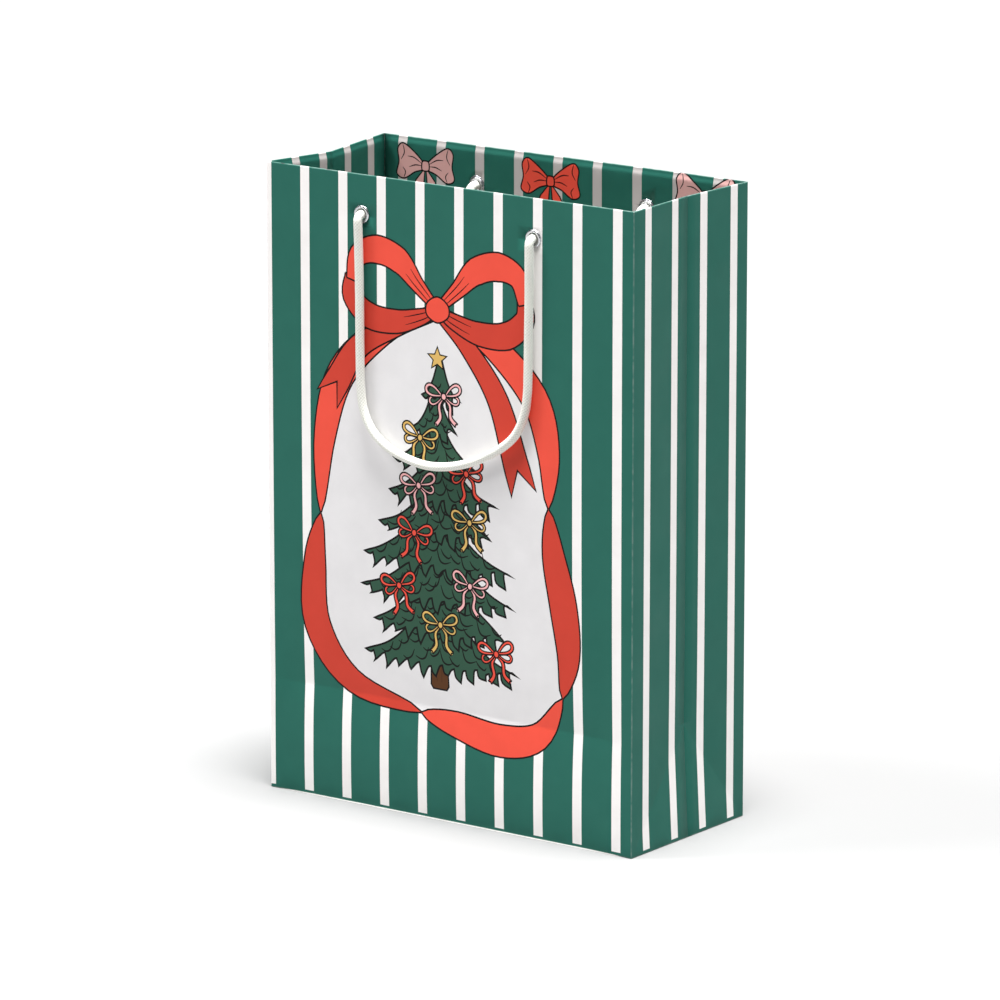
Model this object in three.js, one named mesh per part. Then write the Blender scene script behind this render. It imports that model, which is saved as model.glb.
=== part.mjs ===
// Paper gift bag with rope handles.
// Millimetres, +Z up. The origin is the middle of the base, on the surface that the bag stands on.
// +X runs along the wide front panel, -Y is the front and +Y the back.
import * as THREE from 'three';

// Driving dimensions of the bag
const WIDTH = 229;
const DEPTH = 99;
const HEIGHT = 330;

// Sheets
const PAPER = 0.5;
const HEM = 0.4;
const STIFFENER = 0.8;
const FLAP = 0.4;
const BASE_CARD = 0.8;
const GAP = 0.3;
const HEM_HEIGHT = 45;
const STIFFENER_HEIGHT = 40;
const GUSSET_TUCK = 2.5;
const CORNER_RELIEF = 7.5;
const GUSSET_HEM_RELIEF = 11;

// Eyelets
const EYELET_SPACING = 107;
const EYELET_DROP = 20.5;
const EYELET_BORE = 3.0;
const EYELET_BARREL = 3.4;
const FLANGE_RADIUS = 4.7;
const WASHER_RADIUS = 4.9;
const SHEET_HOLE = 3.8;
const ROUND_SEGMENTS = 24;

// Rope handles
const ROPE_RADIUS = 2.3;
const ROPE_SIDES = 10;
const ROPE_STEP = 12;
const PIVOT_STANDOFF = 3.6;
const TAIL_STANDOFF = 8.4;
const TAIL_LENGTH = 16;
const TIP_LENGTH = 10;
const KNOT_SIZE = new THREE.Vector3(6.8, 5.6, 6.6);

// Route of a handle from one eyelet to the other: along the panel, down from the eyelets, off the panel
const HANDLE_ROUTE = [
  [53.5, 0, 3.6],
  [53.4, 14, 3.6],
  [53.2, 28, 3.3],
  [53, 42, 3.3],
  [52.8, 56, 3.3],
  [52.6, 68, 3.3],
  [52.2, 79, 3.3],
  [50.2, 90, 3.3],
  [45.2, 100, 3.3],
  [38, 107, 3.3],
  [28.5, 113, 3.3],
  [17, 118.4, 3.4],
  [3, 122.4, 3.4],
  [-11, 123.6, 3.4],
  [-25, 121.2, 3.4],
  [-36.5, 116.8, 3.3],
  [-45.2, 109.8, 3.3],
  [-50.4, 100, 3.3],
  [-52.2, 88, 3.3],
  [-52.6, 73, 3.3],
  [-52.7, 55, 3.3],
  [-52.8, 36, 3.3],
  [-53.1, 18, 3.4],
  [-53.5, 0, 3.6],
];

// Levels of the folded base, from the outer flap up to the loose card, and the foot of the walls
const BACK_FLAP_Z = FLAP + GAP;
const SIDE_FLAP_Z = BACK_FLAP_Z + FLAP + GAP;
const BASE_CARD_Z = SIDE_FLAP_Z + FLAP + GAP;
const WALL_FOOT = BASE_CARD_Z + BASE_CARD + GAP;

// Depths below the outer face of the front or back panel
const STIFFENER_DEPTH = PAPER + GAP;
const HEM_DEPTH = STIFFENER_DEPTH + STIFFENER + GAP;
const WASHER_DEPTH = HEM_DEPTH + HEM + GAP;
const WASHER_THICKNESS = 0.6;
const BARREL_DEPTH = WASHER_DEPTH + WASHER_THICKNESS + GAP;
const EYELET_Z = HEIGHT - EYELET_DROP;

const FRONT = -1;
const BACK = 1;
const LEFT = -1;
const RIGHT = 1;
const FACE_NAMES = new Map([[FRONT, 'front'], [BACK, 'back']]);
const SIDE_NAMES = new Map([[LEFT, 'left'], [RIGHT, 'right']]);

function standard(color, roughness, metalness = 0) {
  return new THREE.MeshStandardMaterial({ color, roughness, metalness });
}

const printedPaper = standard(0x2f6d61, 0.45);
const turnedPaper = standard(0x2f6055, 0.5);
const greyBoard = standard(0xb9b2a6, 0.9);
const whiteBoard = standard(0xe9e6df, 0.85);
const nickel = standard(0xc9c9cc, 0.28, 1);
const cottonRope = standard(0xf5f5ee, 0.85);

function named(name, geometry, material) {
  const mesh = new THREE.Mesh(geometry, material);
  mesh.name = name;
  return mesh;
}

function outline(points) {
  return new THREE.Shape(points.map(([x, y]) => new THREE.Vector2(x, y)));
}

// A flat sheet lying in XY, from height z up
function layFlat(points, z, thickness) {
  const geometry = new THREE.ExtrudeGeometry(outline(points), { depth: thickness, bevelEnabled: false });
  return geometry.translate(0, 0, z);
}

// A sheet that stands parallel to the front, with round holes for the eyelets.
// Its outer face lies depth below the outer face of the front or back panel.
function standSheet(face, halfWidth, z0, z1, depth, thickness) {
  const shape = outline([[-halfWidth, z0], [halfWidth, z0], [halfWidth, z1], [-halfWidth, z1]]);
  for (const side of [LEFT, RIGHT]) {
    const hole = new THREE.Path();
    hole.absarc(side * EYELET_SPACING / 2, EYELET_Z, SHEET_HOLE, 0, 2 * Math.PI, true);
    shape.holes.push(hole);
  }
  const options = { depth: thickness, bevelEnabled: false, curveSegments: ROUND_SEGMENTS / 2 };
  const geometry = new THREE.ExtrudeGeometry(shape, options).rotateX(Math.PI / 2);
  const outerFace = DEPTH / 2 - depth;
  return geometry.translate(0, face === BACK ? outerFace : -outerFace + thickness, 0);
}

// Distance of a gusset's outer face from the middle plane: the crease is tucked in a little
function gussetReach(y) {
  return WIDTH / 2 - GUSSET_TUCK * (1 - Math.abs(y) / (DEPTH / 2));
}

// One half of a gusset, or its hem, between two distances from the crease
function gussetHalf(side, face, depth, thickness, fromCrease, toCorner, z0, z1) {
  const corners = [[fromCrease, 0], [toCorner, 0], [toCorner, thickness], [fromCrease, thickness]];
  const plan = corners.map(([y, inset]) => [side * (gussetReach(y) - depth - inset), face * y]);
  return layFlat(plan, z0, z1 - z0);
}

function makePanel(face) {
  const name = FACE_NAMES.get(face);
  const hemHalf = WIDTH / 2 - CORNER_RELIEF;
  const hemFoot = HEIGHT - HEM_HEIGHT;
  const panel = standSheet(face, WIDTH / 2, WALL_FOOT, HEIGHT, 0, PAPER);
  const hem = standSheet(face, hemHalf, hemFoot, HEIGHT, HEM_DEPTH, HEM);
  const top = HEIGHT - 1;
  const stiffener = standSheet(face, hemHalf, top - STIFFENER_HEIGHT, top, STIFFENER_DEPTH, STIFFENER);
  return [
    named(`${name}_panel`, panel, printedPaper),
    named(`${name}_top_hem`, hem, turnedPaper),
    named(`${name}_stiffener_card`, stiffener, greyBoard),
  ];
}

function makeGussetHalf(side, face) {
  const name = `${SIDE_NAMES.get(side)}_gusset_${FACE_NAMES.get(face)}`;
  const toCorner = DEPTH / 2 - PAPER - GAP;
  const sheet = gussetHalf(side, face, 0, PAPER, GAP / 2, toCorner, WALL_FOOT, HEIGHT);
  const hemEnd = DEPTH / 2 - GUSSET_HEM_RELIEF;
  const hemStart = 1.5;
  const hem = gussetHalf(side, face, PAPER + GAP, HEM, hemStart, hemEnd, HEIGHT - HEM_HEIGHT, HEIGHT);
  return [named(`${name}_half`, sheet, printedPaper), named(`${name}_hem`, hem, turnedPaper)];
}

// The sheet's glued seam: a narrow strip inside the back panel, below the hem
function makeSeamFlap() {
  const start = -WIDTH / 2 + 3.5;
  const width = 14.5;
  const outer = DEPTH / 2 - PAPER - GAP;
  const plan = [[start, outer - HEM], [start + width, outer - HEM], [start + width, outer], [start, outer]];
  const height = HEIGHT - HEM_HEIGHT - 2 - WALL_FOOT;
  return named('side_seam_flap', layFlat(plan, WALL_FOOT, height), turnedPaper);
}

function makeBaseFlaps() {
  const frontEdge = DEPTH / 2 - 20;
  const taper = 6;
  const halfWidth = WIDTH / 2;
  const front = layFlat([
    [-halfWidth, -DEPTH / 2],
    [halfWidth, -DEPTH / 2],
    [halfWidth - taper, frontEdge],
    [-halfWidth + taper, frontEdge],
  ], 0, FLAP);

  // The back flap lies on the table along its fold, then steps up over the front flap
  const step = DEPTH / 2 - 12;
  const landing = DEPTH / 2 - 17;
  const backEdge = -DEPTH / 2 + 30;
  const profile = outline([
    [DEPTH / 2, 0],
    [DEPTH / 2, FLAP],
    [step, FLAP],
    [landing, BACK_FLAP_Z + FLAP],
    [backEdge, BACK_FLAP_Z + FLAP],
    [backEdge, BACK_FLAP_Z],
    [landing, BACK_FLAP_Z],
    [step, 0],
  ]);
  const backWidth = WIDTH - 2 * taper;
  const back = new THREE.ExtrudeGeometry(profile, { depth: backWidth, bevelEnabled: false });
  back.rotateX(Math.PI / 2).rotateZ(Math.PI / 2).translate(-backWidth / 2, 0, 0);

  const meshes = [named('base_flap_front', front, printedPaper), named('base_flap_back', back, printedPaper)];
  const foldHalf = DEPTH / 2 - 1;
  const reach = 46;
  for (const side of [LEFT, RIGHT]) {
    const flap = layFlat([
      [side * halfWidth, -foldHalf],
      [side * halfWidth, foldHalf],
      [side * (halfWidth - reach), foldHalf - reach / 2],
      [side * (halfWidth - reach), -foldHalf + reach / 2],
    ], SIDE_FLAP_Z, FLAP);
    meshes.push(named(`base_flap_${SIDE_NAMES.get(side)}`, flap, printedPaper));
  }
  return meshes;
}

function makeBaseCard() {
  const clearance = 2;
  const radius = 3;
  const x = WIDTH / 2 - clearance - radius;
  const y = DEPTH / 2 - clearance - radius;
  const shape = new THREE.Shape();
  shape.absarc(x, y, radius, 0, Math.PI / 2);
  shape.absarc(-x, y, radius, Math.PI / 2, Math.PI);
  shape.absarc(-x, -y, radius, Math.PI, 1.5 * Math.PI);
  shape.absarc(x, -y, radius, 1.5 * Math.PI, 2 * Math.PI);
  const geometry = new THREE.ExtrudeGeometry(shape, { depth: BASE_CARD, bevelEnabled: false, curveSegments: 4 });
  return named('base_card', geometry.translate(0, 0, BASE_CARD_Z), whiteBoard);
}

// Turn a closed profile of (radius, height out of the panel) into a ring round an eyelet's axis
function ringGeometry(profile) {
  const points = profile.map(([radius, height]) => new THREE.Vector2(radius, height));
  points.push(points[0].clone());
  return new THREE.LatheGeometry(points, ROUND_SEGMENTS);
}

function makeEyelet(face, side) {
  const name = `${FACE_NAMES.get(face)}_eyelet_${SIDE_NAMES.get(side)}`;
  const end = BARREL_DEPTH;
  const eyelet = ringGeometry([
    [EYELET_BORE, 0.55],
    [EYELET_BORE, -end - 0.1],
    [EYELET_BORE + 0.2, -end - 0.5],
    [EYELET_BARREL + 0.3, -end - 0.65],
    [EYELET_BARREL + 0.8, -end - 0.4],
    [EYELET_BARREL + 0.8, -end],
    [EYELET_BARREL, -end],
    [EYELET_BARREL, GAP],
    [FLANGE_RADIUS, GAP],
    [FLANGE_RADIUS, GAP + 0.2],
    [FLANGE_RADIUS - 0.35, GAP + 0.5],
    [FLANGE_RADIUS - 0.85, GAP + 0.65],
    [EYELET_BORE + 0.35, GAP + 0.55],
  ]);
  const washer = ringGeometry([
    [EYELET_BARREL + 0.35, -WASHER_DEPTH],
    [EYELET_BARREL + 0.35, -WASHER_DEPTH - WASHER_THICKNESS],
    [WASHER_RADIUS - 0.2, -WASHER_DEPTH - WASHER_THICKNESS],
    [WASHER_RADIUS, -WASHER_DEPTH - 0.35],
    [WASHER_RADIUS, -WASHER_DEPTH],
  ]);
  const group = new THREE.Group();
  group.add(named(name, eyelet, nickel), named(name.replace('eyelet', 'eyelet_washer'), washer, nickel));
  group.position.set(side * EYELET_SPACING / 2, face * DEPTH / 2, EYELET_Z);
  group.rotation.x = face === FRONT ? Math.PI : 0;
  return group;
}

function ropeSection() {
  const shape = new THREE.Shape();
  for (let i = 0; i < ROPE_SIDES; i += 1) {
    const angle = 2 * Math.PI * i / ROPE_SIDES;
    const x = ROPE_RADIUS * Math.cos(angle);
    const y = ROPE_RADIUS * Math.sin(angle);
    if (i === 0) shape.moveTo(x, y);
    else shape.lineTo(x, y);
  }
  return shape;
}

function ropeAlong(curve, steps) {
  return new THREE.ExtrudeGeometry(ropeSection(), { steps, extrudePath: curve, bevelEnabled: false });
}

// The loop that hangs outside a panel and swings about its eyelets
function makeHandle(face) {
  const route = HANDLE_ROUTE.map(([x, drop, standoff]) => (
    new THREE.Vector3(x, face * (DEPTH / 2 + standoff), EYELET_Z - drop)
  ));
  const curve = new THREE.CatmullRomCurve3(route);
  const steps = Math.round(curve.getLength() / ROPE_STEP);
  return named(`${FACE_NAMES.get(face)}_handle_rope`, ropeAlong(curve, steps), cottonRope);
}

// The end of the rope inside the bag: through the eyelet, down to a stopper knot, and a short tip
function makeRopeEnd(face, side) {
  const name = `${FACE_NAMES.get(face)}_rope_${SIDE_NAMES.get(side)}`;
  const x = side * EYELET_SPACING / 2;
  const outside = PIVOT_STANDOFF - ROPE_RADIUS - GAP;
  const bend = TAIL_STANDOFF - BARREL_DEPTH;
  const at = (depth, drop) => new THREE.Vector3(x, face * (DEPTH / 2 - depth), EYELET_Z - drop);

  const path = new THREE.CurvePath();
  path.add(new THREE.LineCurve3(at(-outside, 0), at(BARREL_DEPTH, 0)));
  path.add(new THREE.QuadraticBezierCurve3(at(BARREL_DEPTH, 0), at(TAIL_STANDOFF, 0), at(TAIL_STANDOFF, bend)));
  path.add(new THREE.LineCurve3(at(TAIL_STANDOFF, bend), at(TAIL_STANDOFF, TAIL_LENGTH)));
  const tail = ropeAlong(path, 16);

  const knotDrop = TAIL_LENGTH + GAP + KNOT_SIZE.z;
  const knot = new THREE.SphereGeometry(1, 16, 12).rotateX(Math.PI / 2);
  knot.scale(KNOT_SIZE.x, KNOT_SIZE.y, KNOT_SIZE.z);
  const centre = at(TAIL_STANDOFF, knotDrop);
  knot.translate(centre.x, centre.y, centre.z);

  const tipDrop = knotDrop + KNOT_SIZE.z + GAP;
  const tipPath = new THREE.LineCurve3(at(TAIL_STANDOFF, tipDrop), at(TAIL_STANDOFF, tipDrop + TIP_LENGTH));
  return [
    named(`${name}_tail`, tail, cottonRope),
    named(`${name}_knot`, knot, cottonRope),
    named(`${name}_tip`, ropeAlong(tipPath, 1), cottonRope),
  ];
}

const bag = new THREE.Group();
for (const face of [FRONT, BACK]) {
  bag.add(...makePanel(face), makeHandle(face));
  for (const side of [LEFT, RIGHT]) {
    bag.add(...makeGussetHalf(side, face), makeEyelet(face, side), ...makeRopeEnd(face, side));
  }
}
bag.add(makeSeamFlap(), ...makeBaseFlaps(), makeBaseCard());

export default bag;
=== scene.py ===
# A paper gift bag with rope handles: printed sheets, eyelets, braided rope and a soft studio.
import math
import bpy
import numpy as np
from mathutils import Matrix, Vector, geometry


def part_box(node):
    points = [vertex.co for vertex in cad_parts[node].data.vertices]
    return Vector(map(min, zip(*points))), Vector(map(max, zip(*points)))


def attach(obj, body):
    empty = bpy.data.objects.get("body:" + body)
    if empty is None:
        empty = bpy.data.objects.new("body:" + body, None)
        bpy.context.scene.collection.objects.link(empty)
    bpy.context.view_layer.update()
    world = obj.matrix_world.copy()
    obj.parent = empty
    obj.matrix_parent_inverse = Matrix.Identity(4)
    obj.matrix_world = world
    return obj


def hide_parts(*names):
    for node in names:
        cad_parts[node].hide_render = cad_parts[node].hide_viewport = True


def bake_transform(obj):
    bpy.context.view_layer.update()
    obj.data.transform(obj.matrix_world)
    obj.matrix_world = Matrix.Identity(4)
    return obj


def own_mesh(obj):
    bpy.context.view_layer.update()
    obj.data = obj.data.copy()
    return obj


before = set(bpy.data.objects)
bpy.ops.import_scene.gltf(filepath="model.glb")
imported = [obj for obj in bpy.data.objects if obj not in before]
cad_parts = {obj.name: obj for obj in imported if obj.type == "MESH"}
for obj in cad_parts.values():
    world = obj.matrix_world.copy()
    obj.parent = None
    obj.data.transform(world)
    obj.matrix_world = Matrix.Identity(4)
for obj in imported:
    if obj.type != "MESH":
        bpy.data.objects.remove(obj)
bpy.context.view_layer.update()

MM = 0.001
FACES = {"front": -1, "back": 1}
SIDES = {"left": -1, "right": 1}

# Sizes from the frame, in millimetres
WIDTH = 2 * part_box("front_panel")[1].x / MM
DEPTH = -2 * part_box("front_panel")[0].y / MM
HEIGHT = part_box("front_panel")[1].z / MM
EYELET_LO, EYELET_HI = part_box("front_eyelet_right")
EYELET_X = (EYELET_LO.x + EYELET_HI.x) / 2 / MM
EYELET_Z = (EYELET_LO.z + EYELET_HI.z) / 2 / MM
HEM_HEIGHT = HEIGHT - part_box("front_top_hem")[0].z / MM

# The printed sheet, its hem and its folds, in millimetres
SHEET = 0.4
FOLD_RADIUS = 0.5
HALF_FOLD = FOLD_RADIUS * math.pi / 4
WHOLE_FOLD = FOLD_RADIUS * math.pi / 2
TOP_RADIUS = 0.45
OVER_TOP = TOP_RADIUS * math.pi
WALL_TOP = HEIGHT - TOP_RADIUS + 0.01
HEM_SHEET = 0.3
HEM_DEPTH = 1.6
HEM_STEP = 3.5
HEM_CORNER = 3
HEM_OVERLAP = HEM_HEIGHT + TOP_RADIUS * (math.pi - 1)
STIFFENER = 0.7
EYELET_HOLE = 3.35
CREASE_Z = 59.0
CREASE_DEPTH = 2.3
FADE_ABOVE = 45
FADE_BELOW = 22
FOOT_DEPTH = 1.0
FOOT_FADE = 18
BELLY = 0.5
TUCK_AT_MIDDLE = 2.5
TUCK_AT_CREASE = 3.0
DIP_REACH = 90

# Stripes: their width, how high they begin, and the first centre and the spacing along each wall
STRIPE = 5.7
BASE_BAND = 2.2
STRIPES = {
    "front": (-114.35, 24.35),
    "back": (-97.0, 24.78),
    "right": (-36.3, 24.8),
    "left": (-35.2, 21.1),
}

# Rope; the hanging loop's route is (across, drop below the eyelets, distance out of the wall)
ROPE_RADIUS = 2.3
STRANDS = 8
LAY = 13.0
ROUNDED_END = 0.8
ROPE_STEP = 0.5
STANDOFF = 3.6
STRAIGHT_OUTSIDE = 0.5
STRAIGHT_INSIDE = 3.8
TAIL_DEPTH = 8.4
KNOT_DROP = 22.9
LOOP_BEGINS = -1.0
TAIL_ENDS = -0.4
HANDLE_ROUTE = [
    (53.4, 14, 3.6), (53.2, 28, 3.3), (53.0, 42, 3.3), (52.8, 56, 3.3), (52.6, 68, 3.3),
    (52.2, 79, 3.3), (50.2, 90, 3.3), (45.2, 100, 3.3), (38.0, 107, 3.3), (28.5, 113, 3.3),
    (17.0, 118.4, 3.4), (3.0, 122.4, 3.4), (-11.0, 123.6, 3.4), (-25.0, 121.2, 3.4),
    (-36.5, 116.8, 3.3), (-45.2, 109.8, 3.3), (-50.4, 100, 3.3), (-52.2, 88, 3.3),
    (-52.6, 73, 3.3), (-52.7, 55, 3.3), (-52.8, 36, 3.3), (-53.1, 18, 3.4),
]


# -------- camera, light and floor

CAMERA_AZIMUTH = 36.3
CAMERA_ELEVATION = 13.3
CAMERA_DISTANCE = 3.696
CAMERA_LENS = 260.8
CAMERA_SIDE = -0.0028
CAMERA_HEIGHT = 0.1594
FLOOR_REACH = 12
FLOOR_GREY = 0.3
ROOM_COLOUR = (1.0, 0.995, 0.99, 1)
ROOM_STRENGTH = 0.12


def add_object(name, data):
    made = bpy.data.objects.new(name, data)
    bpy.context.scene.collection.objects.link(made)
    return made


def direction(azimuth, elevation):
    a = math.radians(azimuth)
    e = math.radians(elevation)
    return Vector((math.sin(a) * math.cos(e), -math.cos(a) * math.cos(e), math.sin(e)))


def make_camera():
    data = bpy.data.cameras.new("camera")
    data.lens = CAMERA_LENS
    data.sensor_width = 36
    data.clip_end = 50
    camera = add_object("camera", data)
    back = direction(CAMERA_AZIMUTH, CAMERA_ELEVATION)
    right = direction(CAMERA_AZIMUTH + 90, 0)
    camera.location = right * CAMERA_SIDE + Vector((0, 0, CAMERA_HEIGHT)) + back * CAMERA_DISTANCE
    camera.rotation_euler = (-back).to_track_quat("-Z", "Y").to_euler()
    bpy.context.scene.camera = camera


def add_sun(name, azimuth, elevation, energy, spread):
    light = bpy.data.lights.new(name, "SUN")
    light.energy = energy
    light.angle = math.radians(spread)
    sun = add_object(name, light)
    sun.rotation_euler = (-direction(azimuth, elevation)).to_track_quat("-Z", "Y").to_euler()


def make_studio():
    """A pale room, a broad light from above and a small one from the left."""
    world = bpy.data.worlds.new("studio")
    world.use_nodes = True
    background = world.node_tree.nodes["Background"]
    background.inputs["Color"].default_value = ROOM_COLOUR
    background.inputs["Strength"].default_value = ROOM_STRENGTH
    bpy.context.scene.world = world
    bpy.context.scene.view_settings.view_transform = "Standard"
    add_sun("overhead", 64, 84, 9.4, 24)
    add_sun("key", -52, 50, 1.6, 18)
    floor_mesh = bpy.data.meshes.new("floor")
    corners = [(x * FLOOR_REACH, y * FLOOR_REACH, 0) for x, y in ((-1, -1), (1, -1), (1, 1), (-1, 1))]
    floor_mesh.from_pydata(corners, [], [(0, 1, 2, 3)])
    floor = add_object("floor", floor_mesh)
    grey = (FLOOR_GREY, FLOOR_GREY, FLOOR_GREY, 1)
    floor_mesh.materials.append(Shader("floor", 0.9).set(Base_Color=grey))


# -------- materials

INK_ROUGHNESS = 0.5
WEAR_OUTER = 0.75
WEAR_INNER = 0.12


def linear(red, green, blue):
    """An sRGB colour, 0 to 255, as linear light."""
    shares = (red / 255, green / 255, blue / 255)
    return tuple(((c + 0.055) / 1.055) ** 2.4 if c > 0.04 else c / 12.92 for c in shares)


class Shader:
    """A principled material whose nodes are added by short calls."""

    def __init__(self, name, roughness, metallic=0.0):
        self.material = bpy.data.materials.new(name)
        self.material.use_nodes = True
        self.tree = self.material.node_tree
        self.bsdf = self.tree.nodes["Principled BSDF"]
        self.bsdf.inputs["Roughness"].default_value = roughness
        self.bsdf.inputs["Metallic"].default_value = metallic

    def node(self, kind, **inputs):
        made = self.tree.nodes.new(kind)
        for key, value in inputs.items():
            self.put(made, key, value)
        return made

    def put(self, node, key, value):
        """Sets or links an input, called by its name with _ for a space, or by _ and its number."""
        socket = node.inputs[int(key[1:]) if key[0] == "_" else key.replace("_", " ")]
        if isinstance(value, bpy.types.NodeSocket):
            self.tree.links.new(value, socket)
        else:
            socket.default_value = value

    def math(self, operation, a, b=0.0, clamp=False):
        made = self.node("ShaderNodeMath", _0=a, _1=b)
        made.operation = operation
        made.use_clamp = clamp
        return made.outputs[0]

    def noise(self, scale, detail=3.0, vector=None):
        made = self.node("ShaderNodeTexNoise", Scale=scale, Detail=detail)
        self.put(made, "Vector", self.place() if vector is None else vector)
        return made.outputs["Fac"]

    def place(self):
        return self.node("ShaderNodeTexCoord").outputs["Object"]

    def ramp(self, value, low, high, to_low=0.0, to_high=1.0):
        limits = {"From_Min": low, "From_Max": high, "To_Min": to_low, "To_Max": to_high}
        return self.node("ShaderNodeMapRange", Value=value, **limits).outputs["Result"]

    def mix(self, factor, a, b):
        made = self.node("ShaderNodeMix")
        made.data_type = "RGBA"
        self.put(made, "_0", factor)
        for key, value in (("_6", a), ("_7", b)):
            self.put(made, key, value if isinstance(value, bpy.types.NodeSocket) else (*value, 1.0))
        return made.outputs["Result"]

    def bump(self, height, strength, distance, under=None):
        made = self.node("ShaderNodeBump", Height=height, Strength=strength, Distance=distance)
        if under is not None:
            self.put(made, "Normal", under)
        return made.outputs["Normal"]

    def set(self, **inputs):
        for key, value in inputs.items():
            self.put(self.bsdf, key, value)
        return self.material


def worn_folds(shader):
    """1 along the folded edges of the bag, in patches, and 0 elsewhere."""
    spot = shader.node("ShaderNodeSeparateXYZ", Vector=shader.place())
    beside = []
    for axis, half in (("X", WIDTH / 2), ("Y", DEPTH / 2)):
        off_middle = shader.math("ABSOLUTE", spot.outputs[axis])
        beside.append(shader.ramp(off_middle, (half - WEAR_OUTER) * MM, (half - WEAR_INNER) * MM))
    corner = shader.math("MULTIPLY", *beside)
    foot = shader.ramp(spot.outputs["Z"], 0.9 * MM, 0.2 * MM)
    top = shader.ramp(spot.outputs["Z"], (HEIGHT - 0.5) * MM, (HEIGHT - 0.05) * MM)
    edge = shader.math("MAXIMUM", shader.math("MAXIMUM", corner, foot), top)
    patches = shader.ramp(shader.noise(260, 4), 0.38, 0.62, 0.12, 0.42)
    return shader.math("MULTIPLY", edge, patches, clamp=True)


def ink(name, colour):
    """Printed, matt-laminated paper in one ink."""
    shader = Shader(name, INK_ROUGHNESS)
    base = linear(*colour)
    darker = tuple(c * 0.93 for c in base)
    lighter = tuple(min(1.0, c * 1.05 + 0.002) for c in base)
    mottled = shader.mix(shader.noise(90, 5), darker, lighter)
    fibre = tuple(min(0.86, c * 0.55 + 0.36) for c in base)
    worn = shader.mix(worn_folds(shader), mottled, fibre)
    waves = shader.bump(shader.noise(28, 1), 0.35, 0.0012)
    normal = shader.bump(shader.noise(2600, 4), 0.10, 0.0002, waves)
    gloss = shader.ramp(shader.noise(40, 3), 0.3, 0.7, INK_ROUGHNESS - 0.05, INK_ROUGHNESS + 0.07)
    return shader.set(Base_Color=worn, Roughness=gloss, Normal=normal, Specular_IOR_Level=0.14)


def raw_paper(name, colour, fleck):
    """Unprinted paper or board with fibres and flecks."""
    shader = Shader(name, 0.88)
    base = linear(*colour)
    stretched = shader.node("ShaderNodeMapping", Vector=shader.place(), Scale=(1.0, 1.0, 0.35))
    fibres = shader.noise(1500, 6, stretched.outputs["Vector"])
    cloudy = shader.mix(shader.noise(60, 4), tuple(c * 0.94 for c in base), base)
    flecked = shader.mix(shader.ramp(fibres, 0.58, 0.72, 0.0, 0.5), cloudy, linear(*fleck))
    normal = shader.bump(fibres, 0.22, 0.00025)
    return shader.set(Base_Color=flecked, Normal=normal)


def nickel():
    shader = Shader("eyelet nickel", 0.24, 1.0)
    tone = shader.mix(shader.noise(300, 4), linear(196, 196, 200), linear(226, 226, 230))
    rough = shader.ramp(shader.noise(900, 4), 0.3, 0.7, 0.17, 0.34)
    normal = shader.bump(shader.noise(1800, 3), 0.05, 0.0001)
    return shader.set(Base_Color=tone, Roughness=rough, Normal=normal)


def rope_fibre():
    shader = Shader("rope fibre", 0.82)
    hollow_shade = shader.node("ShaderNodeAttribute")
    hollow_shade.attribute_name = "hollow_shade"
    # painted shade: the rope is coloured darker in the hollows between its strands
    tone = shader.mix(hollow_shade.outputs["Fac"], linear(252, 252, 246), linear(196, 197, 184))
    dust = shader.ramp(shader.noise(160, 4), 0.45, 0.75, 0.0, 0.35)
    dusty = shader.mix(dust, tone, linear(238, 238, 226))
    normal = shader.bump(shader.noise(4200, 5), 0.35, 0.0002)
    return shader.set(Base_Color=dusty, Normal=normal, Sheen_Weight=0.35, Sheen_Roughness=0.5)


INK_COLOURS = {
    "green": (38, 103, 90),
    "white": (252, 247, 245),
    # painted shade: the hem's white is darker, standing in for the shade inside the bag
    "shaded white": (198, 192, 190),
    "red": (240, 84, 66),
    "deep_red": (208, 66, 50),
    "field": (232, 230, 231),
    "fir": (50, 86, 68),
    "gold": (224, 184, 106),
    "pink": (246, 184, 184),
    "rose": (222, 172, 168),
    "brown": (90, 54, 26),
    "black": (12, 10, 10),
}


# -------- curves on a flat sheet

def smooth(points, closed=False, steps=7):
    """A Catmull-Rom curve through the points."""
    points = np.array(points, float)
    before = points[-1] if closed else 2 * points[0] - points[1]
    after = points[:2] if closed else [2 * points[-1] - points[-2]]
    route = [before, *points, *after]
    curve = []
    for a, b, c, d in zip(route, route[1:], route[2:], route[3:]):
        for k in range(steps):
            t = k / steps
            curve.append(0.5 * (2 * b + (c - a) * t + (2 * a - 5 * b + 4 * c - d) * t * t
                                + (3 * b - a - 3 * c + d) * t ** 3))
    if not closed:
        curve.append(points[-1])
    return np.array(curve)


def sides_of(line, half_widths, closed=False):
    """The two edges of a band along a line, half_widths to each side of it and mitred at its corners."""
    ahead = np.roll(line, -1, axis=0) - line
    behind = line - np.roll(line, 1, axis=0)
    if not closed:
        ahead[-1] = behind[-1]
        behind[0] = ahead[0]
    ahead /= np.linalg.norm(ahead, axis=1)[:, None]
    behind /= np.linalg.norm(behind, axis=1)[:, None]
    tangent = ahead + behind
    tangent /= np.linalg.norm(tangent, axis=1)[:, None] + 1e-9
    mitre = 1 / np.maximum(0.45, np.abs((tangent * ahead).sum(axis=1)))
    normal = np.stack([-tangent[:, 1], tangent[:, 0]], axis=1)
    offset = normal * (np.asarray(half_widths) * mitre)[:, None]
    return line + offset, line - offset


def distinct(line):
    """The line without points that lie on the one before."""
    line = np.asarray(line, float)
    apart = np.linalg.norm(np.diff(line, axis=0), axis=1) > 0.02
    return line[np.concatenate([[True], apart])]


def turned(points, angle, scale, at):
    """The points turned about the origin, scaled and moved."""
    c = math.cos(angle) * scale
    s = math.sin(angle) * scale
    points = np.asarray(points, float)
    return points @ np.array([[c, s], [-s, c]]) + np.array(at)


# -------- printing

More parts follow.
